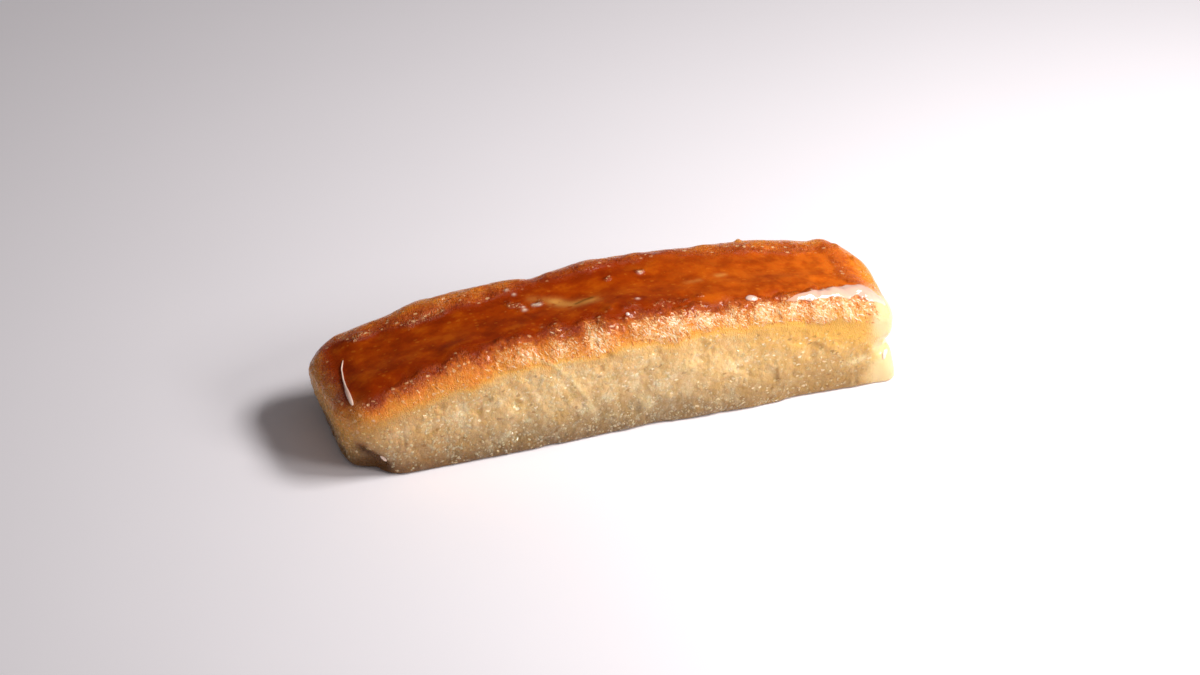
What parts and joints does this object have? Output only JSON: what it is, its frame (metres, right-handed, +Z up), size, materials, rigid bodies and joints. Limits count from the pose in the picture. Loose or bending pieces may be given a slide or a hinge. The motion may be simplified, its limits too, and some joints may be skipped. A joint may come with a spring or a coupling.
{
  "type": "syrup-soaked pastry bar",
  "caption": "Long syrup-soaked semolina pastry bar with a glossy browned top and pale grainy torn sides, as served on its own.",
  "frame": {"origin": "middle of the bar's bounding box, on the surface that it rests on", "axes": "+X along the bar, towards its squarer, paler end, +Y towards the plainer long side, +Z up"},
  "size_m": [0.1332, 0.0366, 0.0281],
  "materials": {
    "baked_pastry": "baked pastry soaked in syrup: glossy red-brown top, rough golden shoulder, wet grainy beige crumb on the sides"
  },
  "bodies": {
    "root": {"pastry_bar": "baked_pastry"}
  },
  "joints": []
}
